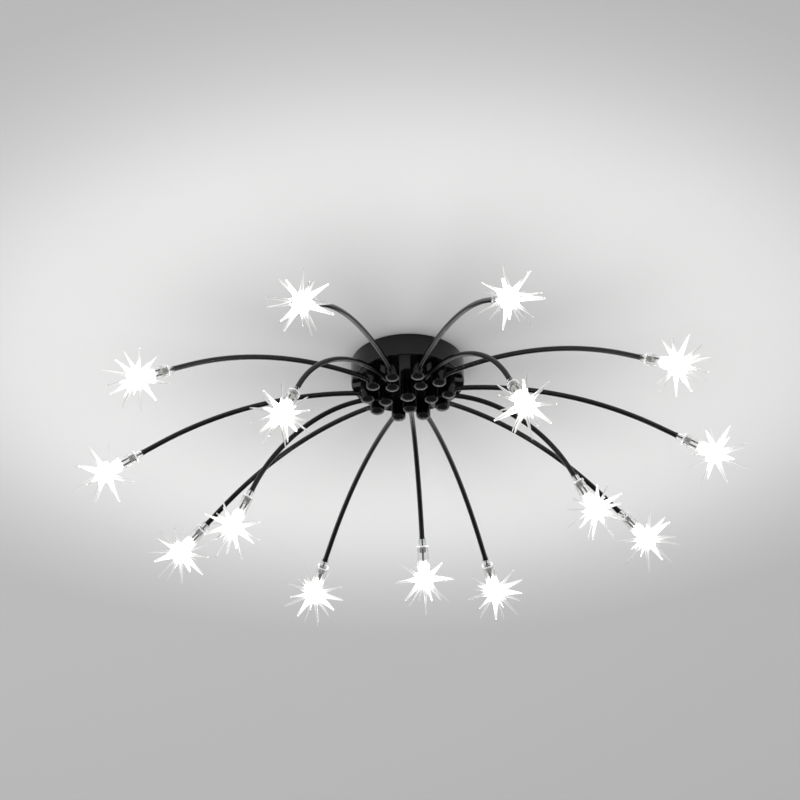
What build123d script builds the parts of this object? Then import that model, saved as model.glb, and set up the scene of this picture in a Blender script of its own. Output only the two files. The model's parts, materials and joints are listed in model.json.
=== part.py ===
from build123d import *
import os
from math import cos, radians, sin

os.makedirs("parts", exist_ok=True)

# A spider ceiling light: a drum canopy on a ceiling plate, with a ring of long bent tube arms,
# an inner ring of shorter ones, and a lit glass star on the end of each arm.
# Millimetres and degrees. The ceiling is the plane Z = 0 and the light hangs below it.

# Clearances
running_gap = 0.05  # radial, round what turns with an arm
seat_gap = 0.05  # radial, round what is pushed or screwed home
shoulder_gap = 0.05  # between the canopy and the shoulder of each post
lead_gap = 0.3  # between a lead that turns with its arm and its plug

# Posts that carry the arms, on two rings
inner_ring_r = 34.3
ring_step = 23.7  # from the inner ring out to the outer one
first_post_angle = -3.7
outer_swings = [5.5, 4.5, 5.5, 7, 2.5, 1, 0.5, 4, 4.5, 8]  # how far each arm is turned from radial
inner_swings = [1.5, 0, 1, 1.5, 3]
post_d = 20.5
post_side = 20.9  # straight side of a post, from the canopy down to the rim of its domed end
post_dome = 5.1  # height of the domed end
shank_d = 8.0
wire_bore_d = 5.0

# Arm tubes: a stub out of the post, a short bend, a long bend and a straight end
tube_d = 7.0
tube_wall = 1.1
tube_drop = 15.0  # from the canopy down to where a tube's axis meets its post's
tube_start = 4.0  # tube end from the post's axis
outer_rise = 16.0
outer_stub = 7.4
outer_short_r = 40.0
outer_short_turn = 13.5
outer_long_r = 510.0
outer_long_turn = 32.5
outer_end = 29.0
inner_rise = 10.0
inner_stub = 8.6
inner_short_r = 166.0
inner_short_turn = 32.0
inner_long_r = 203.0
inner_long_turn = 38.5
inner_end = 11.5

# Leads through the tubes
lead_d = 2.4
lead_bend_r = 3.0
lead_proud = 1.0  # lead above the top of its shank

# Lampholders, measured along the lamp's axis from the end of its tube
sleeve_d = 8.4
sleeve_len = 4.0  # over the tube
spigot_d = 10.7
spigot_len = 9.5
lead_room_d = 5.2
flange_d = 17.5
flange_t = 2.5
plug_d = 12.8
plug_len = 8.0
socket_d = 9.0
capsule_d = 9.6
capsule_len = 40.0
pin_d = 0.8
pin_len = 6.0
pin_pitch = 4.0

# Glass stars
star_stand = 47.5  # from the flange to the centre of the star
neck_d = 17.0
neck_len = 18.0
core_d = 28.0
core_wall = 3.0
flare_d = 24.0
flare_back = 6.5  # end of the flare, behind the centre of the star
spike_base_d = 9.2
spike_tip_d = 3.4
tip_rounding = 0.45  # fillet of a spike's tip, as a share of its diameter
spike_rings = [(0, 1, 51), (45, 6, 46), (86, 7, 50), (126, 5, 45)]  # tilt, count, reach
star_turn = 37.0  # each star is screwed home at another angle

# Ceiling plate and what hangs from it
plate_d = 128.0
plate_t = 1.5
slot_pitch = 100.0
slot_len = 12.0
slot_w = 5.0
rod_d = 8.0
rod_grip = 12.0  # rod inside the finial
rod_recess = 0.2  # top of the rod and screws below the ceiling
nut_flats = 13.0
nut_h = 4.0
cable_hole_d = 14.0
cable_bore_d = 10.0
bush_lip_d = 18.0
bush_lip_t = 1.5
cable_x = -40.0
cable_y = -28.0
earth_x = 38.0
earth_y = -26.0
earth_d = 4.0
earth_head_d = 8.0
earth_head_h = 2.6

# Driver, terminal block and their screws
driver_len = 76.0
driver_w = 34.0
driver_h = 14.0
driver_edge_r = 2.0
driver_room = 5.6  # under the driver, above the wiring board
lug_len = 8.0
lug_w = 12.0
lug_t = 2.0
part_spacing = 2.5  # round the nuts on the rod
screw_d = 3.0
screw_head_d = 5.6
screw_head_h = 2.0
block_len = 30.0
block_w = 17.0
block_h = 12.0
pole_count = 3
pole_pitch = 9.0
wire_way_d = 4.0
clamp_d = 3.4
clamp_h = 4.0
clamp_inset = 4.0  # clamp screws in from the block's long sides
clamp_sink = 1.0
drive_slot_w = 0.8
drive_slot_depth = 0.8

# Wiring board
board_t = 1.6
board_edge = 7.0  # board beyond the outer ring of plugs
plug_side = 6.0
plug_h = 3.2

# Canopy and finial
canopy_wall = 1.2
canopy_margin = 23.0  # canopy beyond the outer ring of posts
canopy_edge_r = 2.4
washer_d = 15.0
washer_t = 0.8
shank_proud = 1.0  # shank above its lock nut
finial_d = 22.4
finial_dome = 6.0
finial_washer_d = 18.0
finial_washer_t = 1.0

# Places worked out from the sizes above
outer_count = len(outer_swings)
inner_count = len(inner_swings)
outer_ring_r = inner_ring_r + ring_step
outer_step = 360 / outer_count
inner_step = 360 / inner_count
canopy_d = 2 * (outer_ring_r + canopy_margin)
nut_corner_r = nut_flats / 2 / cos(radians(30))
plate_z = -plate_t
board_top = plate_z - driver_h - driver_room
board_bottom = board_top - board_t
plug_bottom = board_bottom - plug_h
lead_top = plug_bottom - lead_gap
shank_top = lead_top - lead_proud
nut_top = shank_top - shank_proud
nut_bottom = nut_top - nut_h
canopy_floor = nut_bottom - washer_t
canopy_z = canopy_floor - canopy_wall
dome_z = canopy_z - post_side
tube_z = canopy_z - tube_drop
rod_bottom = canopy_z - finial_washer_t - rod_grip
driver_y = nut_corner_r + part_spacing + driver_w / 2
driver_lug_x = (driver_len + lug_len) / 2
block_y = -nut_corner_r - part_spacing - block_w / 2
block_lug_x = (block_len + lug_len) / 2
screw_points = [(driver_lug_x, driver_y), (-driver_lug_x, driver_y)]
screw_points += [(block_lug_x, block_y), (-block_lug_x, block_y)]
flange_face = spigot_len + flange_t
capsule_start = flange_face + plug_len
star_centre = flange_face + star_stand
on_top = (Align.CENTER, Align.CENTER, Align.MIN)
hung = (Align.CENTER, Align.CENTER, Align.MAX)


def ring_points(radius, count, first):
    step = 360 / count
    angles = [radians(first + step * i) for i in range(count)]
    return [(radius * cos(a), radius * sin(a)) for a in angles]


inner_first_angle = first_post_angle + outer_step / 2
outer_points = ring_points(outer_ring_r, outer_count, first_post_angle)
inner_points = ring_points(inner_ring_r, inner_count, inner_first_angle)
post_points = outer_points + inner_points


def write(shape, node):
    shape.label = node
    export_step(shape, f"parts/{node}.step")


# Ceiling plate: a pressed disc with slots for the ceiling screws and a hole for the mains cable
with BuildPart() as ceiling_plate:
    Cylinder(plate_d / 2, plate_t, align=hung)
    with BuildSketch(Plane.XY):
        Circle(rod_d / 2 + seat_gap)
        with GridLocations(slot_pitch, 0, 2, 1):
            SlotOverall(slot_len, slot_w)
        with Locations((cable_x, cable_y)):
            Circle(cable_hole_d / 2 + seat_gap)
        with Locations((earth_x, earth_y)):
            Circle(earth_d / 2 + seat_gap)
        with Locations(*screw_points):
            Circle(screw_d / 2 + seat_gap)
    extrude(amount=-plate_t, mode=Mode.SUBTRACT)
write(ceiling_plate.part, "ceiling_plate")

# Cable bush: a rubber sleeve flush with the top of the plate, with its lip below
with BuildPart() as cable_bush:
    with Locations((cable_x, cable_y, 0)):
        Cylinder(cable_hole_d / 2, plate_t, align=hung)
        with Locations((0, 0, plate_z)):
            Cylinder(bush_lip_d / 2, bush_lip_t, align=hung)
        Cylinder(cable_bore_d / 2, plate_t + bush_lip_t, align=hung, mode=Mode.SUBTRACT)
write(cable_bush.part, "cable_bush")

# Centre rod: screwed into the plate, and down through the board and canopy into the finial
with BuildPart() as centre_rod:
    with Locations((0, 0, rod_bottom)):
        Cylinder(rod_d / 2, -rod_recess - rod_bottom, align=on_top)
write(centre_rod.part, "centre_rod")

# Nuts on the rod: one under the plate, and one on each side of the wiring board
with BuildPart() as rod_nuts:
    for nut_z in (plate_z - nut_h, board_top, board_bottom - nut_h):
        with BuildSketch(Plane.XY.offset(nut_z)):
            RegularPolygon(nut_flats / 2, 6, major_radius=False)
            Circle(rod_d / 2 + seat_gap, mode=Mode.SUBTRACT)
        extrude(amount=nut_h)
write(rod_nuts.part, "rod_nuts")

# Driver: a slim moulded case with a screw lug at each end
with BuildPart() as led_driver:
    with Locations((0, driver_y, plate_z)):
        Box(driver_len, driver_w, driver_h, align=hung)
    fillet(led_driver.edges().filter_by(Axis.Z), driver_edge_r)
    fillet(led_driver.faces().sort_by(Axis.Z)[0].edges(), driver_edge_r / 2)
    with Locations((driver_lug_x, driver_y, plate_z), (-driver_lug_x, driver_y, plate_z)):
        Box(lug_len, lug_w, lug_t, align=hung)
        Cylinder(screw_d / 2 + seat_gap, lug_t, align=hung, mode=Mode.SUBTRACT)
write(led_driver.part, "led_driver")

# Terminal block: wire ways through it across the poles, and a clamp screw at each end of each way
pole_xs = [pole_pitch * (i - (pole_count - 1) / 2) for i in range(pole_count)]
clamp_y = block_w / 2 - clamp_inset
clamp_points = [(x, block_y + side * clamp_y) for x in pole_xs for side in (-1, 1)]
block_bottom = plate_z - block_h
with BuildPart() as terminal_block:
    with Locations((0, block_y, plate_z)):
        Box(block_len, block_w, block_h, align=hung)
    with Locations((block_lug_x, block_y, plate_z), (-block_lug_x, block_y, plate_z)):
        Box(lug_len, lug_w, lug_t, align=hung)
        Cylinder(screw_d / 2 + seat_gap, lug_t, align=hung, mode=Mode.SUBTRACT)
    with BuildSketch(Plane.XZ.offset(-block_y)):
        with Locations(*[(x, plate_z - block_h / 2) for x in pole_xs]):
            Circle(wire_way_d / 2)
    extrude(amount=block_w / 2, both=True, mode=Mode.SUBTRACT)
    with BuildSketch(Plane.XY.offset(block_bottom)):
        with Locations(*clamp_points):
            Circle(clamp_d / 2 + seat_gap)
    extrude(amount=block_h / 2, mode=Mode.SUBTRACT)
write(terminal_block.part, "terminal_block")

# Clamp screws of the terminal block, slotted and sunk a little below its face
with BuildPart() as terminal_screws:
    with BuildSketch(Plane.XY.offset(block_bottom + clamp_sink)):
        with Locations(*clamp_points):
            Circle(clamp_d / 2)
    extrude(amount=clamp_h)
    with BuildSketch(Plane.XY.offset(block_bottom + clamp_sink)):
        with Locations(*clamp_points):
            Rectangle(clamp_d, drive_slot_w)
    extrude(amount=drive_slot_depth, mode=Mode.SUBTRACT)
write(terminal_screws.part, "terminal_screws")

# Screws that hold the driver and the terminal block up to the plate
with BuildPart() as plate_screws:
    with BuildSketch(Plane.XY.offset(plate_z - lug_t)):
        with Locations(*screw_points):
            Circle(screw_d / 2)
    extrude(amount=lug_t + plate_t - rod_recess)
    with BuildSketch(Plane.XY.offset(plate_z - lug_t)):
        with Locations(*screw_points):
            Circle(screw_head_d / 2)
    extrude(amount=-screw_head_h)
    with BuildSketch(Plane.XY.offset(plate_z - lug_t - screw_head_h)):
        with Locations(*screw_points):
            Rectangle(screw_head_d, drive_slot_w)
    extrude(amount=drive_slot_depth, mode=Mode.SUBTRACT)
write(plate_screws.part, "plate_screws")

# Earth screw: a slotted brass screw in the plate
with BuildPart() as earth_screw:
    with Locations((earth_x, earth_y, plate_z)):
        Cylinder(earth_d / 2, plate_t - rod_recess, align=on_top)
        Cylinder(earth_head_d / 2, earth_head_h, align=hung)
    with Locations((earth_x, earth_y, plate_z - earth_head_h)):
        Box(earth_head_d, drive_slot_w, drive_slot_depth, align=on_top, mode=Mode.SUBTRACT)
write(earth_screw.part, "earth_screw")

# Wiring board: a disc on the rod that shares the driver's output among the lamps
with BuildPart() as board_disc:
    with Locations((0, 0, board_top)):
        Cylinder(outer_ring_r + board_edge, board_t, align=hung)
        Cylinder(rod_d / 2 + seat_gap, board_t, align=hung, mode=Mode.SUBTRACT)

# Plugs under the board, one over each post
with BuildPart() as board_plugs:
    with BuildSketch(Plane.XY.offset(board_bottom)):
        with PolarLocations(outer_ring_r, outer_count, first_post_angle):
            Rectangle(plug_side, plug_side)
        with PolarLocations(inner_ring_r, inner_count, inner_first_angle):
            Rectangle(plug_side, plug_side)
    extrude(amount=-plug_h)
wiring_board = Compound(children=[board_disc.part] + board_plugs.part.solids())
write(wiring_board, "wiring_board")

# Canopy: a spun drum, open at the ceiling, with a hole for each post and for the rod
with BuildPart() as canopy:
    Cylinder(canopy_d / 2, -canopy_z, align=hung)
    fillet(canopy.edges().sort_by(Axis.Z)[0], canopy_edge_r)
    Cylinder(canopy_d / 2 - canopy_wall, -canopy_floor, align=hung, mode=Mode.SUBTRACT)
    with BuildSketch(Plane.XY.offset(canopy_floor)):
        Circle(rod_d / 2 + seat_gap)
        with Locations(*post_points):
            Circle(shank_d / 2 + running_gap)
    extrude(amount=-canopy_wall, mode=Mode.SUBTRACT)
write(canopy.part, "canopy")

# Friction washers on the canopy's floor, one round each shank
with BuildPart() as friction_washers:
    with BuildSketch(Plane.XY.offset(canopy_floor)):
        with Locations(*post_points):
            Circle(washer_d / 2)
            Circle(shank_d / 2 + running_gap, mode=Mode.SUBTRACT)
    extrude(amount=washer_t)
write(friction_washers.part, "friction_washers")

# Lock nuts over the washers
with BuildPart() as lock_nuts:
    with BuildSketch(Plane.XY.offset(nut_bottom)):
        with Locations(*post_points):
            RegularPolygon(nut_flats / 2, 6, major_radius=False)
            Circle(shank_d / 2 + running_gap, mode=Mode.SUBTRACT)
    extrude(amount=nut_h)
write(lock_nuts.part, "lock_nuts")


# Half the outline of a turned post: its domed end, then its side and what stands on it, up to the axis
def draw_post(diameter, dome, upper_points):
    end = EllipticalCenterArc((0, dome_z), diameter / 2, dome, start_angle=270, arc_size=90)
    Polyline(end @ 1, *upper_points, end @ 0)


# Finial: a domed nut on the rod that holds the canopy up
finial_top = canopy_z - finial_washer_t
with BuildPart() as finial:
    with BuildSketch(Plane.XZ):
        with BuildLine():
            draw_post(finial_d, finial_dome, [(finial_d / 2, finial_top), (0, finial_top)])
        make_face()
    revolve(axis=Axis.Z)
    with Locations((0, 0, rod_bottom)):
        Cylinder(rod_d / 2 + seat_gap, rod_grip, align=on_top, mode=Mode.SUBTRACT)
write(finial.part, "finial")

# Finial washer between the finial and the canopy
with BuildPart() as finial_washer:
    with Locations((0, 0, canopy_z)):
        Cylinder(finial_washer_d / 2, finial_washer_t, align=hung)
        Cylinder(rod_d / 2 + seat_gap, finial_washer_t, align=hung, mode=Mode.SUBTRACT)
write(finial_washer.part, "finial_washer")


# The bends of an arm, drawn on from the end of a line: a short one, a long one and a straight end
def draw_bends(start, bends, beyond=0):
    short_r, short_turn, long_r, long_turn, end = bends
    short_bend = JernArc(start @ 1, start % 1, short_r, -short_turn)
    long_bend = JernArc(short_bend @ 1, short_bend % 1, long_r, -long_turn)
    return Line(long_bend @ 1, long_bend @ 1 + (long_bend % 1) * (end + beyond))


# One arm that leaves a post on the Z axis towards +X: its post, its tube, its lead and its tip's plane
def make_arm(rise, stub, bends):
    rise_x = cos(radians(rise))
    rise_z = sin(radians(rise))
    seat = (tube_start * rise_x, tube_z + tube_start * rise_z)
    stub_end = ((tube_start + stub) * rise_x, tube_z + (tube_start + stub) * rise_z)
    tube_axis = Plane((0, 0, tube_z), z_dir=(rise_x, 0, rise_z))
    shoulder_z = canopy_z - shoulder_gap
    shoulder_points = [(post_d / 2, shoulder_z), (shank_d / 2, shoulder_z)]
    shank_points = [(shank_d / 2, shank_top), (0, shank_top)]

    # Post: a domed end, a straight side and a hollow shank, with a side seat for the tube
    with BuildPart() as post:
        with BuildSketch(Plane.XZ):
            with BuildLine():
                draw_post(post_d, post_dome, shoulder_points + shank_points)
            make_face()
        revolve(axis=Axis.Z)
        with Locations((0, 0, tube_z)):
            Cylinder(wire_bore_d / 2, shank_top - tube_z, align=on_top, mode=Mode.SUBTRACT)
            Sphere(wire_bore_d / 2, mode=Mode.SUBTRACT)
        with BuildSketch(tube_axis):
            Circle(tube_d / 2 - tube_wall)
        extrude(amount=tube_start, mode=Mode.SUBTRACT)
        with BuildSketch(tube_axis.offset(tube_start)):
            Circle(tube_d / 2 + seat_gap)
        extrude(amount=post_d, mode=Mode.SUBTRACT)

    # Tube, bent in one upright plane
    with BuildPart() as tube:
        with BuildLine(Plane.XZ) as tube_line:
            draw_bends(Line(seat, stub_end), bends)
        with BuildSketch(tube_axis.offset(tube_start)):
            Circle(tube_d / 2)
            Circle(tube_d / 2 - tube_wall, mode=Mode.SUBTRACT)
        sweep(path=tube_line.line)

    # Lead: down the shank, round into the tube and along it to the back of the socket
    with BuildPart() as lead:
        with BuildLine(Plane.XZ) as lead_line:
            entry = FilletPolyline((0, lead_top), (0, tube_z), stub_end, radius=lead_bend_r)
            draw_bends(entry, bends, spigot_len)
        with BuildSketch(Plane((0, 0, lead_top), z_dir=(0, 0, -1))):
            Circle(lead_d / 2)
        sweep(path=lead_line.line)

    tip = Plane(tube_line.line @ 1, x_dir=(0, 1, 0), z_dir=tube_line.line % 1)
    return post.part, tube.part, lead.part, tip.location


# Lampholder, along +Z from the end of the tube: a clear moulding round the tube and the socket
with BuildPart() as holder:
    Cylinder(spigot_d / 2, spigot_len, align=on_top)
    Cylinder(lead_room_d / 2, spigot_len, align=on_top, mode=Mode.SUBTRACT)
    Cylinder(sleeve_d / 2, sleeve_len, align=hung)
    Cylinder(tube_d / 2 + seat_gap, sleeve_len, align=hung, mode=Mode.SUBTRACT)
    with Locations((0, 0, spigot_len)):
        Cylinder(flange_d / 2, flange_t, align=on_top)
        Cylinder(plug_d / 2, flange_t + plug_len, align=on_top)
        Cylinder(socket_d / 2 + seat_gap, flange_t + plug_len, align=on_top, mode=Mode.SUBTRACT)

# Socket: a ceramic plug inside the lampholder, with a hole for each pin of the lamp
with BuildPart() as socket:
    with Locations((0, 0, spigot_len)):
        Cylinder(socket_d / 2, flange_t + plug_len, align=on_top)
    with BuildSketch(Plane.XY.offset(capsule_start)):
        with GridLocations(pin_pitch, 0, 2, 1):
            Circle(pin_d / 2 + seat_gap)
    extrude(amount=-pin_len, mode=Mode.SUBTRACT)

# Capsule lamp: a round-ended tube on two pins
with BuildPart() as capsule:
    with Locations((0, 0, capsule_start)):
        Cylinder(capsule_d / 2, capsule_len - capsule_d / 2, align=on_top)
    with Locations((0, 0, capsule_start + capsule_len - capsule_d / 2)):
        Sphere(capsule_d / 2)
    with BuildSketch(Plane.XY.offset(capsule_start)):
        with GridLocations(pin_pitch, 0, 2, 1):
            Circle(pin_d / 2)
    extrude(amount=-pin_len)


# One spike of a star, along +Z from inside the wall of its core to its rounded tip
def make_spike(reach):
    root = (core_d - core_wall) / 2
    with BuildPart() as spike:
        with Locations((0, 0, root)):
            Cone(spike_base_d / 2, spike_tip_d / 2, reach - root, align=on_top)
        fillet(spike.edges().sort_by(Axis.Z)[-1], spike_tip_d * tip_rounding)
    return spike.part


# The planes of a ring of spikes, tilted from the far end of the star and spaced evenly round it
def spike_planes(tilt, count):
    planes = []
    for i in range(count):
        turn = radians(360 * i / count + tilt)
        flat = sin(radians(tilt))
        ahead = (flat * cos(turn), flat * sin(turn), cos(radians(tilt)))
        planes.append(Plane((0, 0, star_centre), z_dir=ahead))
    return planes


# Star: a hollow neck that slips over the lampholder, a flare, a hollow core and its spikes, in glass
spike_sets = [(make_spike(reach), spike_planes(tilt, count)) for tilt, count, reach in spike_rings]
with BuildPart() as star:
    with Locations((0, 0, flange_face)):
        Cylinder(neck_d / 2, neck_len, align=on_top)
    with Locations((0, 0, flange_face + neck_len)):
        Cone(neck_d / 2, flare_d / 2, star_stand - neck_len - flare_back, align=on_top)
    with Locations((0, 0, star_centre)):
        Sphere(core_d / 2)
    for spike, planes in spike_sets:
        with Locations(*planes):
            add(spike)
    with Locations((0, 0, flange_face)):
        Cylinder(plug_d / 2 + seat_gap, star_stand, align=on_top, mode=Mode.SUBTRACT)
    with Locations((0, 0, star_centre)):
        Sphere(core_d / 2 - core_wall, mode=Mode.SUBTRACT)

# Fifteen arms: the outer ring first, then the inner one, each turned about its post by its swing
outer_bends = (outer_short_r, outer_short_turn, outer_long_r, outer_long_turn, outer_end)
inner_bends = (inner_short_r, inner_short_turn, inner_long_r, inner_long_turn, inner_end)
outer_arm = make_arm(outer_rise, outer_stub, outer_bends)
inner_arm = make_arm(inner_rise, inner_stub, inner_bends)
outer_headings = [first_post_angle + outer_step * i + swing for i, swing in enumerate(outer_swings)]
inner_headings = [inner_first_angle + inner_step * i + swing for i, swing in enumerate(inner_swings)]
arms = [(outer_arm, point, heading) for point, heading in zip(outer_points, outer_headings)]
arms += [(inner_arm, point, heading) for point, heading in zip(inner_points, inner_headings)]
for number, (pieces, point, heading) in enumerate(arms, start=1):
    post, tube, lead, tip = pieces
    arm_place = Location((*point, 0), (0, 0, heading))
    lamp_place = arm_place * tip
    star_place = lamp_place * Location((0, 0, 0), (0, 0, star_turn * number))
    arm = Compound(children=[piece.moved(arm_place) for piece in (post, tube, lead)])
    lampholder = Compound(children=[piece.part.moved(lamp_place) for piece in (holder, socket, capsule)])
    write(arm, f"arm_{number:02d}")
    write(lampholder, f"lampholder_{number:02d}")
    write(star.part.moved(star_place), f"star_{number:02d}")
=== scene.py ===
# %% [markdown]
# A spider ceiling light, dressed in Blender.
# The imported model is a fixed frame: it says where every piece sits and what turns with what.
# This script keeps those places and gives the light its looks. Everything is in metres, the
# ceiling is the plane Z = 0, and the light hangs below it.

# %% Load the frame
import json
import math
import random

import bmesh
import bpy
from bmesh.types import BMEdge, BMFace, BMVert
from mathutils import Matrix, Vector


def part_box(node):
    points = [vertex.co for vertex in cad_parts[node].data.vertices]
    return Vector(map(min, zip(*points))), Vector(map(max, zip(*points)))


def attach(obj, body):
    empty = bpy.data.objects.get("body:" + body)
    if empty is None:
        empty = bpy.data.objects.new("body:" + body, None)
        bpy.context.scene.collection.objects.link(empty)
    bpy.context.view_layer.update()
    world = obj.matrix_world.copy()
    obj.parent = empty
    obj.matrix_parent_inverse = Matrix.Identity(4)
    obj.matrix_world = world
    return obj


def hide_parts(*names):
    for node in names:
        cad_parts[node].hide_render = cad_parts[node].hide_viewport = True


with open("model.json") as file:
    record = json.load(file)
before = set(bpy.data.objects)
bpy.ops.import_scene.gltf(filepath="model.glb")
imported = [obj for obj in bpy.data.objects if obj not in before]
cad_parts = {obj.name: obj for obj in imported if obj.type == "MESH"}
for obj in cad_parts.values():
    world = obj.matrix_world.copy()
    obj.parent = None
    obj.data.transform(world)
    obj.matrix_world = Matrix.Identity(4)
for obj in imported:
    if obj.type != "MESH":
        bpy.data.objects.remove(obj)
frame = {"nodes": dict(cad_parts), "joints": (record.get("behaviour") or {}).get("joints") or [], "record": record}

MM = 0.001
scene = bpy.context.scene
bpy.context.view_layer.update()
nodes = frame["nodes"]

# %% [markdown]
# Fifteen arms stand on two rings of posts. Each arm turns about its own post, so the joint gives
# the post's place. The lampholder lies in the arm's upright plane, so the line from the post to it
# is the way that the arm points. Reading both from the frame keeps this file free of copied angles.

# %% Where each arm stands
INNER_RING_LIMIT = 45 * MM  # posts nearer to the middle than this carry the short arms
arms = []
for number, joint in enumerate(frame["joints"], start=1):
    tag = f"{number:02d}"
    post_x, post_y, _ = joint["pos_m"]
    points = [v.co for v in nodes[f"lampholder_{tag}"].data.vertices]
    lamp = sum(points, Vector()) / len(points)
    heading = math.atan2(lamp.y - post_y, lamp.x - post_x)
    place = Matrix.Translation((post_x, post_y, 0)) @ Matrix.Rotation(heading, 4, "Z")
    kind = "short" if math.hypot(post_x, post_y) < INNER_RING_LIMIT else "long"
    arms.append({"tag": tag, "number": number, "body": joint["child"],
                 "place": place, "kind": kind})
print("arms", [(arm["tag"], arm["kind"]) for arm in arms])

# %% [markdown]
# A turned piece, such as a post or the drum canopy, is the same all the way round. On a lathe
# it is a profile spun about its axis, and bmesh has the same move: a chain of edges and one full
# spin. Profiles are lists of (radius, height), with round stretches from a small arc function.

# %% A lathe, and a way to put a finished mesh in the scene
LATHE_SIDES = 48
SHARP_ANGLE = math.radians(35)
MERGE_WITHIN = 1e-6  # points nearer to each other than this become one
SLIVER = 1e-7  # edges shorter than this are dissolved


def arc(centre_r, centre_z, radius, start, stop, steps, height=None):
    """Points of an arc in a profile, from one angle to another in degrees, 0 pointing outwards.

    With a height it is an ellipse: radius wide and that high.
    """
    height = height or radius
    angles = [math.radians(start + (stop - start) * i / steps) for i in range(steps + 1)]
    return [(centre_r + radius * math.cos(a), centre_z + height * math.sin(a)) for a in angles]


def lathe(profile, sides=LATHE_SIDES):
    """Spins a profile of (radius, height) about the Z axis."""
    bm = bmesh.new()
    verts = [bm.verts.new((r, 0, z)) for r, z in profile]
    edges = [bm.edges.new(pair) for pair in zip(verts, verts[1:])]
    bmesh.ops.spin(bm, geom=verts + edges, cent=(0, 0, 0), axis=(0, 0, 1), angle=math.tau,
                   steps=sides, use_merge=True)
    bmesh.ops.remove_doubles(bm, verts=bm.verts, dist=MERGE_WITHIN)
    bmesh.ops.dissolve_degenerate(bm, edges=bm.edges, dist=SLIVER)
    bmesh.ops.recalc_face_normals(bm, faces=bm.faces)
    return bm


def to_mesh(bm, name, soft=False):
    """A smooth-shaded mesh of a bmesh, with its hard edges kept sharp unless it is soft."""
    mesh = bpy.data.meshes.new(name)
    bm.to_mesh(mesh)
    bm.free()
    mesh.polygons.foreach_set("use_smooth", [True] * len(mesh.polygons))
    if not soft:
        mesh.set_sharp_from_angle(angle=SHARP_ANGLE)
    return mesh


def put(mesh, name, body, materials, replaced=(), matrix=None):
    """One piece of the light: a copy of a mesh in its place, riding on its body."""
    own = mesh.copy()
    own.name = name
    if matrix is not None:
        own.transform(matrix)
    for material in materials:
        own.materials.append(material)
    piece = bpy.data.objects.new(name, own)
    scene.collection.objects.link(piece)
    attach(piece, body)
    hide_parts(*replaced)
    return piece


# %% [markdown]
# Materials are node trees. A few helpers keep them short: one turns an sRGB hex value into the
# linear colour that a socket needs, one adds a node with its settings and links, and others make
# the noise, the colour ramp and the output that most materials have. Noise is sized in real
# millimetres on Object coordinates: every object sits at the origin, so these are metres.

# %% Material helpers


def srgb(code):
    """Linear RGBA of an sRGB hex colour such as #1a1a1c."""
    channels = [int(code[i:i + 2], 16) / 255 for i in (1, 3, 5)]
    return [c / 12.92 if c <= 0.04045 else ((c + 0.055) / 1.055) ** 2.4 for c in channels] + [1.0]


def add(tree, kind, inputs=(), **settings):
    """Adds a node, sets its properties, and fills each input with a value or a link."""
    node = tree.nodes.new("ShaderNode" + kind)
    for key, value in settings.items():
        setattr(node, key, value)
    for socket, value in dict(inputs).items():
        if isinstance(value, bpy.types.NodeSocket):
            tree.links.new(value, node.inputs[socket])
        else:
            node.inputs[socket].default_value = value
    return node


def new_material(name):
    """An empty material and its tree."""
    material = bpy.data.materials.new(name)
    material.use_nodes = True
    material.node_tree.nodes.clear()
    return material, material.node_tree


def surface(tree, shader):
    """Ends a tree: the shader becomes the look of the material."""
    add(tree, "OutputMaterial", {"Surface": shader.outputs[0]})


def noise(tree, size_mm, detail):
    """Noise whose features are about this many millimetres across."""
    coords = add(tree, "TexCoord")
    return add(tree, "TexNoise", {"Vector": coords.outputs["Object"],
                                  "Scale": 1 / (size_mm * MM), "Detail": detail})


def ramp(tree, factor, tones):
    """A colour ramp through pairs of a position and an sRGB hex colour, in order."""
    node = add(tree, "ValToRGB", {"Fac": factor})
    stops = node.color_ramp.elements
    stops[0].position, stops[1].position = tones[0][0], tones[-1][0]
    for position, _ in tones[1:-1]:
        stops.new(position)
    for stop, (_, code) in zip(stops, tones):
        stop.color = srgb(code)
    return node


# %% [markdown]
# The metalwork is mild steel under black powder coat, baked to a high gloss. Up close the coat has
# a fine orange peel, and its gloss is a little uneven. The peel is about a millimetre across, too
# fine to show at this distance, so it is drawn at three.

# %% Black powder-coated steel
PEEL_MM, PATCHES_MM = 3, 40
black_steel, tree = new_material("black_powder_coated_steel")
peel = noise(tree, PEEL_MM, 2.0)
patches = noise(tree, PATCHES_MM, 3.0)
gloss = add(tree, "MapRange", {"Value": patches.outputs["Fac"], "From Min": 0.3, "From Max": 0.7,
                               "To Min": 0.09, "To Max": 0.15})
tint = ramp(tree, patches.outputs["Fac"], [(0, "#040405"), (1, "#09090a")])
bump = add(tree, "Bump", {"Height": peel.outputs["Fac"], "Strength": 0.12, "Distance": 0.1 * MM})
coat = add(tree, "BsdfPrincipled", {"Base Color": tint.outputs["Color"], "IOR": 1.48,
                                    "Roughness": gloss.outputs["Result"],
                                    "Normal": bump.outputs["Normal"]})
surface(tree, coat)

# %% [markdown]
# The stars and lampholders are clear. The lampholder is moulded acrylic, which carries light from
# the lamp to the edge of its flange. The star is cast glass: light fills its core and runs out
# along the spikes. Tracing that light through the glass would be slow and noisy, so the flange has
# a little light of its own, and each star carries a glow value on its mesh, bright at the core and
# fainter along the spikes.

# %% Clear acrylic and lit cast glass
FLOW_MM, RIPPLE_MM = 6, 7


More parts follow.
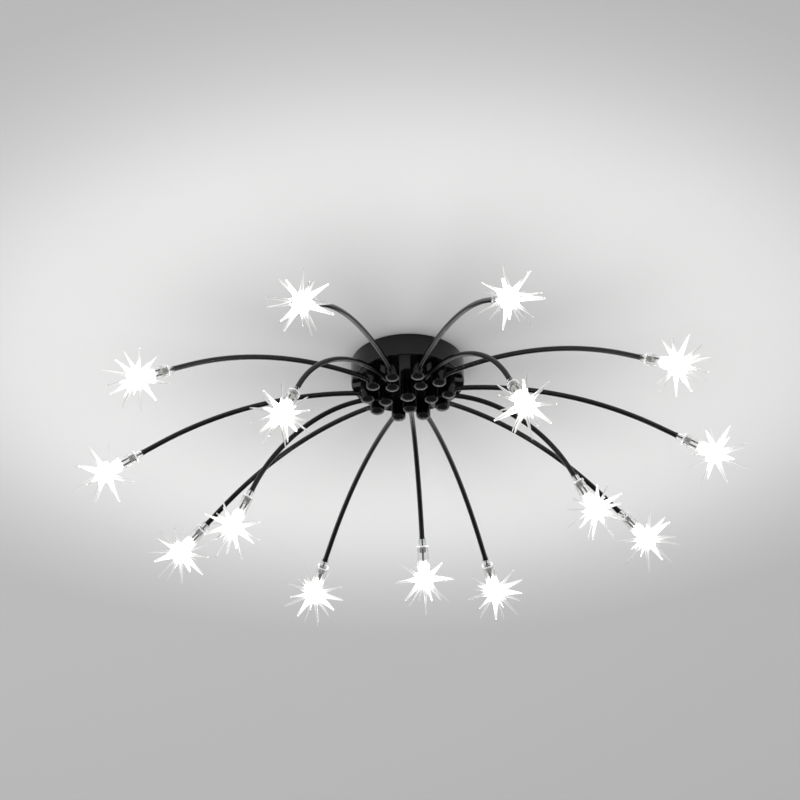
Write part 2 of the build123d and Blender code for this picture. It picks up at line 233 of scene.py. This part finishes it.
def acrylic(name, edge_light):
    """Clear moulded acrylic, with the light that leaves it at an edge."""
    material, tree = new_material(name)
    flow = noise(tree, FLOW_MM, 1.0)
    bump = add(tree, "Bump", {"Height": flow.outputs["Fac"], "Strength": 0.1,
                              "Distance": 0.2 * MM})
    shell = add(tree, "BsdfPrincipled", {"Base Color": srgb("#f6f8f8"), "Roughness": 0.05,
                                         "IOR": 1.49, "Transmission Weight": 1.0,
                                         "Normal": bump.outputs["Normal"],
                                         "Emission Color": srgb("#ffffff"),
                                         "Emission Strength": edge_light})
    surface(tree, shell)
    return material


clear_acrylic = acrylic("clear_moulded_acrylic", edge_light=0.0)
edge_lit_acrylic = acrylic("edge_lit_acrylic", edge_light=0.4)

lit_glass, tree = new_material("lit_cast_glass")
glow = add(tree, "Attribute", attribute_name="glow")
ripple = noise(tree, RIPPLE_MM, 2.0)
bump = add(tree, "Bump", {"Height": ripple.outputs["Fac"], "Strength": 0.35, "Distance": 0.8 * MM})
glass = add(tree, "BsdfPrincipled", {"Base Color": srgb("#ffffff"), "Roughness": 0.04, "IOR": 1.5,
                                     "Transmission Weight": 1.0, "Normal": bump.outputs["Normal"],
                                     "Emission Color": srgb("#fffdf8"),
                                     "Emission Strength": glow.outputs["Fac"]})
surface(tree, glass)

# %% [markdown]
# Inside each clear lampholder sit a lead, a ceramic socket with two spring contacts, and the
# capsule lamp.

# %% Socket ceramic, lead, contacts and lit capsule
CERAMIC_GRAIN_MM, HAZE_MM = 1.5, 4
socket_ceramic, tree = new_material("white_steatite_ceramic")
grain = noise(tree, CERAMIC_GRAIN_MM, 4.0)
tint = ramp(tree, grain.outputs["Fac"], [(0, "#b4b4b0"), (1, "#d2d2ce")])
surface(tree, add(tree, "BsdfPrincipled", {"Base Color": tint.outputs["Color"],
                                           "Roughness": 0.55}))


def uneven_gloss(name, code, grain_mm, detail, rough_low, rough_high):
    """One colour whose gloss changes from place to place."""
    material, tree = new_material(name)
    grain = noise(tree, grain_mm, detail)
    rough = add(tree, "MapRange", {"Value": grain.outputs["Fac"],
                                   "To Min": rough_low, "To Max": rough_high})
    surface(tree, add(tree, "BsdfPrincipled", {"Base Color": srgb(code),
                                               "Roughness": rough.outputs["Result"]}))
    return material


dark_lead = uneven_gloss("grey_insulated_lead", "#4c4c4b", 2, 3.0, 0.25, 0.45)
contact_nickel = uneven_gloss("nickel_plated_contacts", "#565553", 1, 2.0, 0.35, 0.55)

lit_capsule, tree = new_material("lit_capsule_lamp")
haze = noise(tree, HAZE_MM, 2.0)
power = add(tree, "MapRange", {"Value": haze.outputs["Fac"], "To Min": 1.5, "To Max": 2.5})
surface(tree, add(tree, "BsdfPrincipled", {"Base Color": srgb("#fff6e6"), "Roughness": 0.3,
                                           "Emission Color": srgb("#fffaf0"),
                                           "Emission Strength": power.outputs["Result"]}))
for material in (lit_glass, lit_capsule, edge_lit_acrylic):
    material.cycles.emission_sampling = "NONE"  # the studio lamp lights the room, these only shine

# %% [markdown]
# The pieces inside the canopy keep their CAD shapes: they are plates, nuts, screws and moulded
# cases, and only show from above. Each gets a material of its own, with the grain of its finish.

# %% Finishes of the inner pieces
# Slot: name, dark and light tone, grain in mm, roughness from and to, metallic, relief in mm
INNER_FINISHES = {
    "zinc_steel": ("zinc_plated_steel", "#a3a7ab", "#c3c7c9", 9, 0.28, 0.45, 1.0, 0.02),
    "brass": ("turned_brass", "#a8863f", "#c9a65a", 3, 0.22, 0.38, 1.0, 0.02),
    "black_rubber": ("moulded_black_rubber", "#161616", "#242424", 2, 0.6, 0.8, 0.0, 0.05),
    "black_nylon": ("black_nylon", "#181818", "#222222", 2, 0.4, 0.55, 0.0, 0.02),
    "white_plastic": ("moulded_white_abs", "#dcdcd6", "#ebebe6", 2, 0.35, 0.5, 0.0, 0.04),
    "board_green": ("green_coated_circuit_board", "#0f4a26", "#1b6a38", 5, 0.3, 0.45, 0.0, 0.03),
}
DARK_TO, LIGHT_FROM = 0.35, 0.65  # noise values where the grain is all dark, and all light


def plain_finish(name, dark, light, grain_mm, rough_low, rough_high, metallic, relief_mm):
    """A finish with a two-tone grain, an uneven gloss and a fine relief."""
    material, tree = new_material(name)
    grain = noise(tree, grain_mm, 4.0)
    tint = ramp(tree, grain.outputs["Fac"], [(DARK_TO, dark), (LIGHT_FROM, light)])
    rough = add(tree, "MapRange", {"Value": grain.outputs["Fac"],
                                   "To Min": rough_low, "To Max": rough_high})
    relief = add(tree, "Bump", {"Height": grain.outputs["Fac"], "Strength": 0.3,
                                "Distance": relief_mm * MM})
    surface(tree, add(tree, "BsdfPrincipled", {"Base Color": tint.outputs["Color"],
                                               "Metallic": metallic,
                                               "Roughness": rough.outputs["Result"],
                                               "Normal": relief.outputs["Normal"]}))
    return material


inner_finishes = {slot: plain_finish(*row) for slot, row in INNER_FINISHES.items()}
inner_finishes["black_steel"] = black_steel
for entry in frame["record"]["subparts"]:
    finish = inner_finishes.get(entry["material_slot"])
    if finish:
        for material_slot in nodes[entry["node"]].material_slots:
            material_slot.material = finish
print("inner finishes", sorted(inner_finishes))

# %% [markdown]
# The canopy is a spun steel drum, open at the ceiling. Its profile goes once round the wall: up
# the outside, over a thin rim, down the inside and across the floor. The lower edge is rolled, and
# that small round edge is what catches a thin line of light in the photograph.

# %% Canopy
CANOPY_WALL, CANOPY_EDGE = 1.2 * MM, 2.4 * MM
CANOPY_SIDES = 128
OUTER_STEPS, INNER_STEPS = 6, 4
low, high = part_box("canopy")
CANOPY_R, CANOPY_Z = high.x, low.z
edge_r, edge_z = CANOPY_R - CANOPY_EDGE, CANOPY_Z + CANOPY_EDGE
rim = CANOPY_WALL / 2
profile = [(0, CANOPY_Z)]
profile += arc(edge_r, edge_z, CANOPY_EDGE, -90, 0, OUTER_STEPS)
profile += arc(CANOPY_R - rim, -rim, rim, 0, 180, OUTER_STEPS)
profile += arc(edge_r, edge_z, CANOPY_EDGE - CANOPY_WALL, 0, -90, INNER_STEPS)
profile += [(0, CANOPY_Z + CANOPY_WALL)]
canopy_mesh = to_mesh(lathe(profile, CANOPY_SIDES), "canopy_drum")
put(canopy_mesh, "canopy_drum", "fixture", [black_steel], ["canopy"])
print("canopy", round(2 * CANOPY_R / MM), "mm across,", round(-CANOPY_Z / MM, 1), "mm deep")

# %% [markdown]
# Each arm stands on a turned post: a domed end, a straight side, and a shank through the canopy.
# The middle one is a nut on the centre rod, a little larger than the others. Both come off the
# same profile.

# %% Domed posts and finial
POST_R, POST_DOME = 10.25 * MM, 5.1 * MM
SHANK_R = 4.0 * MM
SHANK_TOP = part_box("arm_01")[1].z
FINIAL_R, FINIAL_DOME = 11.2 * MM, 6.0 * MM
FINIAL_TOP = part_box("finial")[1].z
DOME_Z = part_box("finial")[0].z + FINIAL_DOME
TOP_CHAMFER = 0.4 * MM
DOME_STEPS = 16


def domed_post(radius, dome, top_z):
    """Profile of a post: a domed end, a straight side and a small chamfer at the top."""
    points = arc(0, DOME_Z, radius, -90, 0, DOME_STEPS, height=dome)
    return points + [(radius, top_z - TOP_CHAMFER), (radius - TOP_CHAMFER, top_z)]


shank = [(SHANK_R, CANOPY_Z), (SHANK_R, SHANK_TOP), (0, SHANK_TOP)]
post_mesh = to_mesh(lathe(domed_post(POST_R, POST_DOME, CANOPY_Z) + shank), "domed_post")
finial = domed_post(FINIAL_R, FINIAL_DOME, FINIAL_TOP) + [(0, FINIAL_TOP)]
finial_mesh = to_mesh(lathe(finial), "domed_finial")
put(finial_mesh, "domed_finial", "fixture", [black_steel], ["finial"])

# %% [markdown]
# The arms are steel tube, bent on a former: a stub out of the post, a short bend, a long bend and
# a straight end. A circle extruded along the stub and spun about the centre of each bend follows
# the same steps as the bending machine, and keeps the tube round all the way.

# %% Bent tubes
TUBE_R = 3.7 * MM
TUBE_BORE_R = 2.4 * MM
TUBE_SIDES = 24
TUBE_DROP = 15.0 * MM  # from the canopy's floor down to the line of the stub
TUBE_START = 4.0 * MM  # from the post's axis to the hidden end of the tube
BORE_DEPTH = 6.0 * MM
TUBE_RIM = 0.2 * MM
STEP_TURN = 1.6  # degrees of bend to each ring of the tube
# Rise in degrees, stub and end in mm, and each bend's radius in mm and turn in degrees
ARM_SHAPES = {
    "long": {"rise": 16.0, "stub": 7.4, "bends": [(40.0, 13.5), (510.0, 32.5)], "end": 29.0},
    "short": {"rise": 10.0, "stub": 8.6, "bends": [(166.0, 32.0), (203.0, 38.5)], "end": 11.5},
}


def along(angle):
    """The direction at an angle above the horizon, in the upright plane Y = 0."""
    return Vector((math.cos(angle), 0, math.sin(angle)))


def only(kind, found):
    """The elements of one kind among an operator's results."""
    return [item for item in found if isinstance(item, kind)]


def push(bm, edges, offset, scale=1.0):
    """Extrudes a ring of edges by an offset, and scales the new ring about its middle."""
    found = bmesh.ops.extrude_edge_only(bm, edges=edges)["geom"]
    ring = only(BMVert, found)
    middle = sum((v.co for v in ring), Vector()) / len(ring)
    bmesh.ops.scale(bm, verts=ring, vec=(scale,) * 3, space=Matrix.Translation(-middle))
    bmesh.ops.translate(bm, verts=ring, vec=offset)
    return [e for e in only(BMEdge, found) if all(v in ring for v in e.verts)]


def bend_tube(shape):
    """One arm tube in the plane Y = 0, and the matrix of its tip, with Z along the lamp."""
    bm = bmesh.new()
    angle = math.radians(shape["rise"])
    spot = Vector((0, 0, CANOPY_Z - TUBE_DROP)) + along(angle) * TUBE_START
    facing = Matrix.Translation(spot) @ Matrix.Rotation(math.pi / 2 - angle, 4, "Y")
    bmesh.ops.create_circle(bm, cap_ends=True, segments=TUBE_SIDES, radius=TUBE_R, matrix=facing)
    edges = push(bm, list(bm.edges), along(angle) * shape["stub"] * MM)
    spot = spot + along(angle) * shape["stub"] * MM
    for radius, turn in shape["bends"]:
        centre = spot - along(angle + math.pi / 2) * radius * MM
        spun = bmesh.ops.spin(bm, geom=edges, cent=centre, axis=(0, 1, 0),
                              angle=math.radians(turn), steps=round(turn / STEP_TURN))
        edges = only(BMEdge, spun["geom_last"])
        angle -= math.radians(turn)
        spot = centre + along(angle + math.pi / 2) * radius * MM
    edges = push(bm, edges, along(angle) * (shape["end"] * MM - TUBE_RIM))
    edges = push(bm, edges, along(angle) * TUBE_RIM, 1 - TUBE_RIM / TUBE_R)
    edges = push(bm, edges, Vector(), TUBE_BORE_R / (TUBE_R - TUBE_RIM))
    edges = push(bm, edges, -along(angle) * BORE_DEPTH)
    bmesh.ops.holes_fill(bm, edges=edges, sides=TUBE_SIDES)
    bmesh.ops.recalc_face_normals(bm, faces=bm.faces)
    spot = spot + along(angle) * shape["end"] * MM
    side = Vector((0, 1, 0))
    tip = Matrix((side, along(angle).cross(side), along(angle))).transposed().to_4x4()
    return bm, Matrix.Translation(spot) @ tip


tube_meshes, tips = {}, {}
for kind, shape in ARM_SHAPES.items():
    bm, tips[kind] = bend_tube(shape)
    tube_meshes[kind] = to_mesh(bm, f"{kind}_arm_tube")
for arm in arms:
    tag = arm["tag"]
    arm["lamp"] = arm["place"] @ tips[arm["kind"]]
    put(tube_meshes[arm["kind"]], f"arm_tube_{tag}", arm["body"], [black_steel],
        [f"arm_{tag}"], arm["place"])
    put(post_mesh, f"domed_post_{tag}", arm["body"], [black_steel],
        matrix=arm["place"])
print("tubes", {kind: len(mesh.polygons) for kind, mesh in tube_meshes.items()})

# %% [markdown]
# A lampholder is a clear moulding: a spigot over the tube, a flange that the star sits against,
# and a plug inside the star's neck. It is hollow, with the socket and lead showing through it. Its
# sleeve on the tube is thin and painted black with the arm. All of it is turned, so the lathe
# makes it, along +Z from the end of the tube.

# %% Clear lampholders
SLEEVE_R, SLEEVE_LEN = 3.95 * MM, 4.0 * MM
SPIGOT_R, SPIGOT_LEN = 5.35 * MM, 9.5 * MM
FLANGE_R, FLANGE_T = 8.75 * MM, 2.5 * MM
PLUG_R, PLUG_LEN = 6.4 * MM, 8.0 * MM
SEAT_R = 3.75 * MM
LEAD_ROOM_R = 2.6 * MM
SOCKET_R = 4.5 * MM
FIT = 0.05 * MM  # the holder's bore is wider than the socket by this
ROUND, ROUND_STEPS = 0.5 * MM, 3
FLANGE_FACE = SPIGOT_LEN + FLANGE_T
PLUG_END = FLANGE_FACE + PLUG_LEN
HOLDER_SIDES = 32
PAINTED, EDGE_LIT = 1, 2  # material of the sleeve and of the flange, where 0 is clear
profile = [(SEAT_R, -SLEEVE_LEN), (SLEEVE_R, -SLEEVE_LEN), (SLEEVE_R, 0)]
profile += arc(SPIGOT_R - ROUND, ROUND, ROUND, -90, 0, ROUND_STEPS)
profile += [(SPIGOT_R, SPIGOT_LEN)]
profile += arc(FLANGE_R - ROUND, SPIGOT_LEN + ROUND, ROUND, -90, 0, ROUND_STEPS)
profile += arc(FLANGE_R - ROUND, FLANGE_FACE - ROUND, ROUND, 0, 90, ROUND_STEPS)
profile += [(PLUG_R, FLANGE_FACE), (PLUG_R, PLUG_END), (SOCKET_R + FIT, PLUG_END)]
profile += [(SOCKET_R + FIT, SPIGOT_LEN), (LEAD_ROOM_R, SPIGOT_LEN), (LEAD_ROOM_R, 0)]
profile += [(SEAT_R, 0), (SEAT_R, -SLEEVE_LEN)]
holder = lathe(profile, HOLDER_SIDES)
for face in holder.faces:
    middle = face.calc_center_median()
    if middle.z < 0:
        face.material_index = PAINTED
    elif SPIGOT_LEN < middle.z < FLANGE_FACE and middle.xy.length > PLUG_R:
        face.material_index = EDGE_LIT
holder_mesh = to_mesh(holder, "clear_lampholder")

# %% [markdown]
# The lead, socket, contacts and capsule lamp share one piece with a material for each, because
# they are plugged together and are only seen through the clear holder and the star.

# %% Lamp insides
LEAD_R = 1.2 * MM
LEAD_INSIDE = 5.0 * MM
CONTACT_R, CONTACT_OFF, CONTACT_END = 1.2 * MM, 3.4 * MM, 33.0 * MM
CAPSULE_R, CAPSULE_LEN, CAPSULE_STEPS = 4.8 * MM, 40.0 * MM, 8
CAPSULE_END = PLUG_END + CAPSULE_LEN
INSIDE_SIDES = 24
lead = [(0, -LEAD_INSIDE), (LEAD_R, -LEAD_INSIDE), (LEAD_R, SPIGOT_LEN), (0, SPIGOT_LEN)]
socket = [(0, SPIGOT_LEN), (SOCKET_R, SPIGOT_LEN), (SOCKET_R, PLUG_END), (0, PLUG_END)]
contact = [(0, FLANGE_FACE), (CONTACT_R, FLANGE_FACE), (CONTACT_R, CONTACT_END), (0, CONTACT_END)]
capsule = [(0, CONTACT_END), (CAPSULE_R, CONTACT_END)]
capsule += arc(0, CAPSULE_END - CAPSULE_R, CAPSULE_R, 0, 90, CAPSULE_STEPS)
lamp_parts = [(0, lead, 0), (1, socket, 0), (2, contact, CONTACT_OFF), (2, contact, -CONTACT_OFF),
              (3, capsule, 0)]  # material, profile, distance from the axis
insides = bmesh.new()
for index, profile, aside in lamp_parts:
    turned = lathe(profile, INSIDE_SIDES)
    bmesh.ops.translate(turned, verts=turned.verts, vec=(0, aside, 0))
    for face in turned.faces:
        face.material_index = index
    part = bpy.data.meshes.new("lamp_part")
    turned.to_mesh(part)
    turned.free()
    insides.from_mesh(part)
    bpy.data.meshes.remove(part)
inside_mesh = to_mesh(insides, "lamp_insides")
for arm in arms:
    tag = arm["tag"]
    put(holder_mesh, f"clear_holder_{tag}", arm["body"],
        [clear_acrylic, black_steel, edge_lit_acrylic], [f"lampholder_{tag}"], arm["lamp"])
    put(inside_mesh, f"lamp_insides_{tag}", arm["body"],
        [dark_lead, socket_ceramic, contact_nickel, lit_capsule], matrix=arm["lamp"])
print("lamp insides", len(inside_mesh.polygons), "faces")

# %% [markdown]
# The star is one piece of glass, pressed while soft: a hollow core with a neck, and spikes pulled
# out all round. An icosphere starts it. The fan of faces round one vertex is about as wide as the
# foot of a spike, so each spike is that fan extruded outwards in steps, each narrower than the
# last, to a round tip. Subdivision then melts the rings together, the way that hot glass flows.
# It also draws each ring in by about a fifth, so the radii here are larger than the glass's own.

# %% Extruding the star
CORE_R = 14.0 * MM
RIM_SHARE = 0.75  # points further out than this share of a patch lie on its rim
SPIKE_RINGS = [(0, 1, 51.0), (45, 6, 46.0), (86, 7, 50.0), (126, 5, 45.0)]  # tilt, count, reach


def spike_directions():
    """The direction and reach of every spike, in the star's own frame."""
    for tilt, count, reach in SPIKE_RINGS:
        for i in range(count):
            turn = math.radians(360 * i / count + tilt)
            flat = math.sin(math.radians(tilt))
            rise = math.cos(math.radians(tilt))
            yield Vector((flat * math.cos(turn), flat * math.sin(turn), rise)), reach * MM


def pull(bm, faces):
    """Extrudes a patch of faces, drops the old ones, and returns the new faces and vertices."""
    found = bmesh.ops.extrude_face_region(bm, geom=faces)["geom"]
    bmesh.ops.delete(bm, geom=faces, context="FACES")
    return only(BMFace, found), only(BMVert, found)


def flatten(verts, centre, axis, radius):
    """Lays a patch flat across an axis, as a disc of that radius about a centre."""
    offsets = [v.co - centre for v in verts]
    offsets = [o - axis * o.dot(axis) for o in offsets]
    widest = max(o.length for o in offsets)
    for v, o in zip(verts, offsets):
        on_rim = o.length > widest * RIM_SHARE
        v.co = centre + (o.normalized() * radius if on_rim else o * (radius / widest))


# %% [markdown]
# Hand-pulled spikes are never quite alike: each bows a little, their lengths differ, and the stout
# ones carry more light. The light is stored on the vertices as a glow from 0 to 1, so that it
# bends with the mesh and survives subdivision: full over the core, and fainter the further out
# along a spike.

# %% Core and spikes
CORE_SPLITS = 3
NECK_CONE = math.radians(40)  # half the angle of the patch that the neck grows from
SPIKE_STEPS = [(0.05, 6.2, 0.6), (0.26, 4.8, 0.4), (0.56, 3.5, 0.3), (0.84, 2.6, 0.22),
               (0.94, 2.1, 0.16), (1.0, 1.0, 0.1)]  # share of the way, radius in mm, glow
SPIKE_BOW = 1.2 * MM
SHORTEST, LONGEST = 0.84, 1.12  # shares of the reach
THINNEST, DULLEST = 0.6, 0.08  # shares of the stoutest spike's radius and glow
SPIKE_SEED = 8
random.seed(SPIKE_SEED)
star = bmesh.new()
glow_layer = star.verts.layers.float.new("glow")
bmesh.ops.create_icosphere(star, subdivisions=CORE_SPLITS, radius=CORE_R)
for v in star.verts:
    v[glow_layer] = 1.0
feet = []
for ahead, reach in spike_directions():
    foot = max(star.verts, key=lambda v: v.co.dot(ahead))
    feet.append((ahead, reach, list(foot.link_faces)))
neck_faces = [f for f in star.faces
              if all(v.co.normalized().z < -math.cos(NECK_CONE) for v in f.verts)]
for ahead, reach, faces in feet:
    bow = Vector([random.uniform(-1, 1) for _ in range(3)]).cross(ahead) * SPIKE_BOW
    reach *= random.uniform(SHORTEST, LONGEST)
    bulk = random.random()
    stout = THINNEST + (1 - THINNEST) * bulk
    shine = DULLEST + (1 - DULLEST) * bulk ** 2
    for way, radius, strength in SPIKE_STEPS:
        faces, verts = pull(star, faces)
        centre = ahead * (CORE_R + (reach - CORE_R) * way) + bow * math.sin(math.pi * way)
        flatten(verts, centre, ahead, radius * stout * MM)
        for v in verts:
            v[glow_layer] = strength * shine
print("core and spikes", len(star.faces), "faces")

# %% [markdown]
# The neck is the patch of faces round the lower pole, extruded back to the lampholder's flange.
# The same patch then goes on inwards, up the bore and out to the inside of the core, so the star
# is one closed wall of glass, and the lamp shows through it. The bore is clear of the plug by a
# hair.

# %% Neck and hollow
STAR_OUT = 47.5 * MM  # from the flange to the middle of the core
STAR_CENTRE = FLANGE_FACE + STAR_OUT
STAR_TURN = 37.0  # degrees from one star to the next
MELT_LEVELS = 2
# Heights above the tube's end and radii, in mm, and the heights between which the glow grows
NECK_STEPS = [(44.0, 10.4), (36.0, 9.2), (30.0, 8.6), (14.0, 8.5), (12.5, 8.5), (12.05, 8.2)]
BORE_STEPS = [(12.05, 6.8), (12.6, 6.5), (14.0, 6.5), (30.0, 6.5), (44.0, 6.8), (51.0, 8.8),
              (57.0, 10.8), (63.0, 10.6), (68.0, 6.8)]
NECK_GLOW_FROM, NECK_GLOW_TO = 36.0, 50.0
up = Vector((0, 0, 1))
for height, radius in NECK_STEPS + BORE_STEPS:
    neck_faces, verts = pull(star, neck_faces)
    flatten(verts, up * (height * MM - STAR_CENTRE), up, radius * MM)
    lit = (height - NECK_GLOW_FROM) / (NECK_GLOW_TO - NECK_GLOW_FROM)
    for v in verts:
        v[glow_layer] = min(max(lit, 0.0), 1.0)
bmesh.ops.recalc_face_normals(star, faces=star.faces)
open_edges = sum(len(e.link_faces) != 2 for e in star.edges)
star_mesh = to_mesh(star, "glass_star", soft=True)
star_mesh.transform(Matrix.Translation((0, 0, STAR_CENTRE)))
for arm in arms:
    tag = arm["tag"]
    turned = arm["lamp"] @ Matrix.Rotation(math.radians(STAR_TURN * arm["number"]), 4, "Z")
    piece = put(star_mesh, f"glass_star_{tag}", arm["body"], [lit_glass],
                [f"star_{tag}"], turned)
    melt = piece.modifiers.new("melt", "SUBSURF")
    melt.levels = melt.render_levels = MELT_LEVELS
print("star faces", len(star_mesh.polygons), "open edges", open_edges)

# %% [markdown]
# The stage is a plain pale ceiling. It only shows from below: from above it is clear, so that the
# light can be looked at from every side, and a hatch over the canopy lets light in to the pieces
# there. The lamps' glow on the ceiling is painted into its colour as a soft ring, and the darker
# middle round the canopy is painted shade.

# %% Ceiling
CEILING_SIZE = 6.0
CEILING_GAP = 0.4 * MM
HATCH_R = 74 * MM
RING_NEARER, RING_SQUEEZE = 0.02, 1.07  # the glow lies nearer the camera, and is wider than deep
RING_TONES = [(0.10, "#cccccc"), (0.24, "#d9d9d9"), (0.40, "#eeeeee"), (0.56, "#eeeeee"),
              (0.72, "#d6d6d6"), (0.90, "#c0c0c0")]  # metres from the middle of the glow
ceiling_paint_and_glow, tree = new_material("matt_white_ceiling_paint_and_painted_glow")
coords = add(tree, "TexCoord")
flat = add(tree, "VectorMath", {0: coords.outputs["Object"], 1: (1, RING_SQUEEZE, 0),
                                2: (0, RING_NEARER, 0)}, operation="MULTIPLY_ADD")
away = add(tree, "VectorMath", {0: flat.outputs["Vector"]}, operation="LENGTH")
# The ceiling's colour carries a painted glow ring round the lamps, and painted shade in the middle.
ring = ramp(tree, away.outputs["Value"], RING_TONES)
ring.color_ramp.interpolation = "B_SPLINE"
geometry = add(tree, "NewGeometry")
paint = add(tree, "BsdfDiffuse", {"Color": ring.outputs["Color"]})
clear = add(tree, "BsdfTransparent")
reach = add(tree, "VectorMath", {0: coords.outputs["Object"]}, operation="LENGTH")
hatch = add(tree, "Math", {0: reach.outputs["Value"], 1: HATCH_R}, operation="LESS_THAN")
unseen = add(tree, "Math", {0: geometry.outputs["Backfacing"], 1: hatch.outputs["Value"]},
             operation="MAXIMUM")
surface(tree, add(tree, "MixShader", {0: unseen.outputs["Value"], 1: paint.outputs["BSDF"],
                                      2: clear.outputs["BSDF"]}))
bm = bmesh.new()
bmesh.ops.create_grid(bm, x_segments=1, y_segments=1, size=CEILING_SIZE / 2)
bmesh.ops.reverse_faces(bm, faces=bm.faces)
ceiling = bpy.data.objects.new("ceiling", to_mesh(bm, "ceiling"))
ceiling.data.transform(Matrix.Translation((0, 0, CEILING_GAP)))
ceiling.data.materials.append(ceiling_paint_and_glow)
scene.collection.objects.link(ceiling)

# %% [markdown]
# Soft studio light: a plain pale room, and a wide fill from below that lights the ceiling evenly.
# Glossy black in such a room would look grey all over, so a photographer hangs cloth round it, out
# of the picture, and the gloss shows that. Here it is half a ball below the light: black
# underneath, dark behind the camera, and white to the sides and the back. The domes reflect it as
# dark middles with pale rims. Only reflections see it.

# %% Light
ROOM_LEVEL = 0.6
TENT_R, TENT_SIDES, TENT_RINGS = 8.0, 48, 24
BLACK_LEVEL, WHITE_LEVEL = 0.13, 1.2
BLACK_TO, WHITE_FROM = -0.70, -0.32  # heights of a direction between which black turns white
REAR_TO, SIDE_FROM = -0.7, 0.0  # the same, from the camera's side to the middle
REAR_SHARE = 0.25
FILL_PLACE, FILL_AIM = Vector((-1.0, 0.1, -3.2)), Vector((-1.0, 0.1, 0))
FILL_SIZE, FILL_WATTS = 5.0, 64
world = bpy.data.worlds.new("studio")
scene.world = world
world.use_nodes = True
background = world.node_tree.nodes["Background"].inputs
background["Color"].default_value = srgb("#ffffff")
background["Strength"].default_value = ROOM_LEVEL

tent_cloth, tree = new_material("black_and_white_cotton_cloth")
coords = add(tree, "TexCoord")
way = add(tree, "VectorMath", {0: coords.outputs["Object"]}, operation="NORMALIZE")
axes = add(tree, "SeparateXYZ", {"Vector": way.outputs["Vector"]})
wall = add(tree, "MapRange", {"Value": axes.outputs["Z"], "From Min": BLACK_TO,
                              "From Max": WHITE_FROM}, interpolation_type="SMOOTHSTEP")
side = add(tree, "MapRange", {"Value": axes.outputs["Y"], "From Min": REAR_TO,
                              "From Max": SIDE_FROM, "To Min": REAR_SHARE},
           interpolation_type="SMOOTHSTEP")
share = add(tree, "Math", {0: wall.outputs["Result"], 1: side.outputs["Result"]},
            operation="MULTIPLY")
level = add(tree, "MapRange", {"Value": share.outputs["Value"],
                               "To Min": BLACK_LEVEL, "To Max": WHITE_LEVEL})
surface(tree, add(tree, "Emission", {"Color": srgb("#ffffff"),
                                     "Strength": level.outputs["Result"]}))
tent_cloth.cycles.emission_sampling = "NONE"
bm = bmesh.new()
bmesh.ops.create_uvsphere(bm, u_segments=TENT_SIDES, v_segments=TENT_RINGS, radius=TENT_R)
ball = bm.verts[:] + bm.edges[:] + bm.faces[:]
bmesh.ops.bisect_plane(bm, geom=ball, plane_co=(0, 0, 0), plane_no=(0, 0, 1), clear_outer=True)
tent = bpy.data.objects.new("reflection_tent", to_mesh(bm, "reflection_tent"))
tent.data.materials.append(tent_cloth)
tent.visible_camera = tent.visible_diffuse = False
tent.visible_transmission = tent.visible_shadow = False
scene.collection.objects.link(tent)

lamp = bpy.data.lights.new("wide_fill", "AREA")
lamp.size = FILL_SIZE
lamp.energy = FILL_WATTS
fill = bpy.data.objects.new("wide_fill", lamp)
fill.location = FILL_PLACE
fill.rotation_euler = (FILL_AIM - FILL_PLACE).to_track_quat("-Z", "Y").to_euler()
fill.visible_glossy = False
scene.collection.objects.link(fill)

# %% [markdown]
# The photograph was taken from below and in front, with a long lens. The camera's place and angles
# were fitted to the canopy's rim, the posts and the arms.

# %% Camera
CAMERA_DISTANCE = 4.44
CAMERA_BELOW = math.radians(31.68)
CAMERA_PITCH = math.radians(31.01)
CAMERA_YAW = math.radians(-0.176)
CAMERA_ROLL = math.radians(-1.28)
SENSOR_MM = 36
FOCAL_PIXELS, IMAGE_PIXELS = 3090, 800
camera = bpy.data.objects.new("camera", bpy.data.cameras.new("camera"))
camera.data.sensor_width = SENSOR_MM
camera.data.lens = SENSOR_MM * FOCAL_PIXELS / IMAGE_PIXELS
spot = Vector((0, -math.cos(CAMERA_BELOW), -math.sin(CAMERA_BELOW))) * CAMERA_DISTANCE
turn = Matrix.Rotation(-CAMERA_YAW, 4, "Z") @ Matrix.Rotation(math.pi / 2 + CAMERA_PITCH, 4, "X")
camera.matrix_world = Matrix.Translation(spot) @ turn @ Matrix.Rotation(CAMERA_ROLL, 4, "Z")
scene.collection.objects.link(camera)
scene.camera = camera
scene.view_settings.view_transform = "Standard"
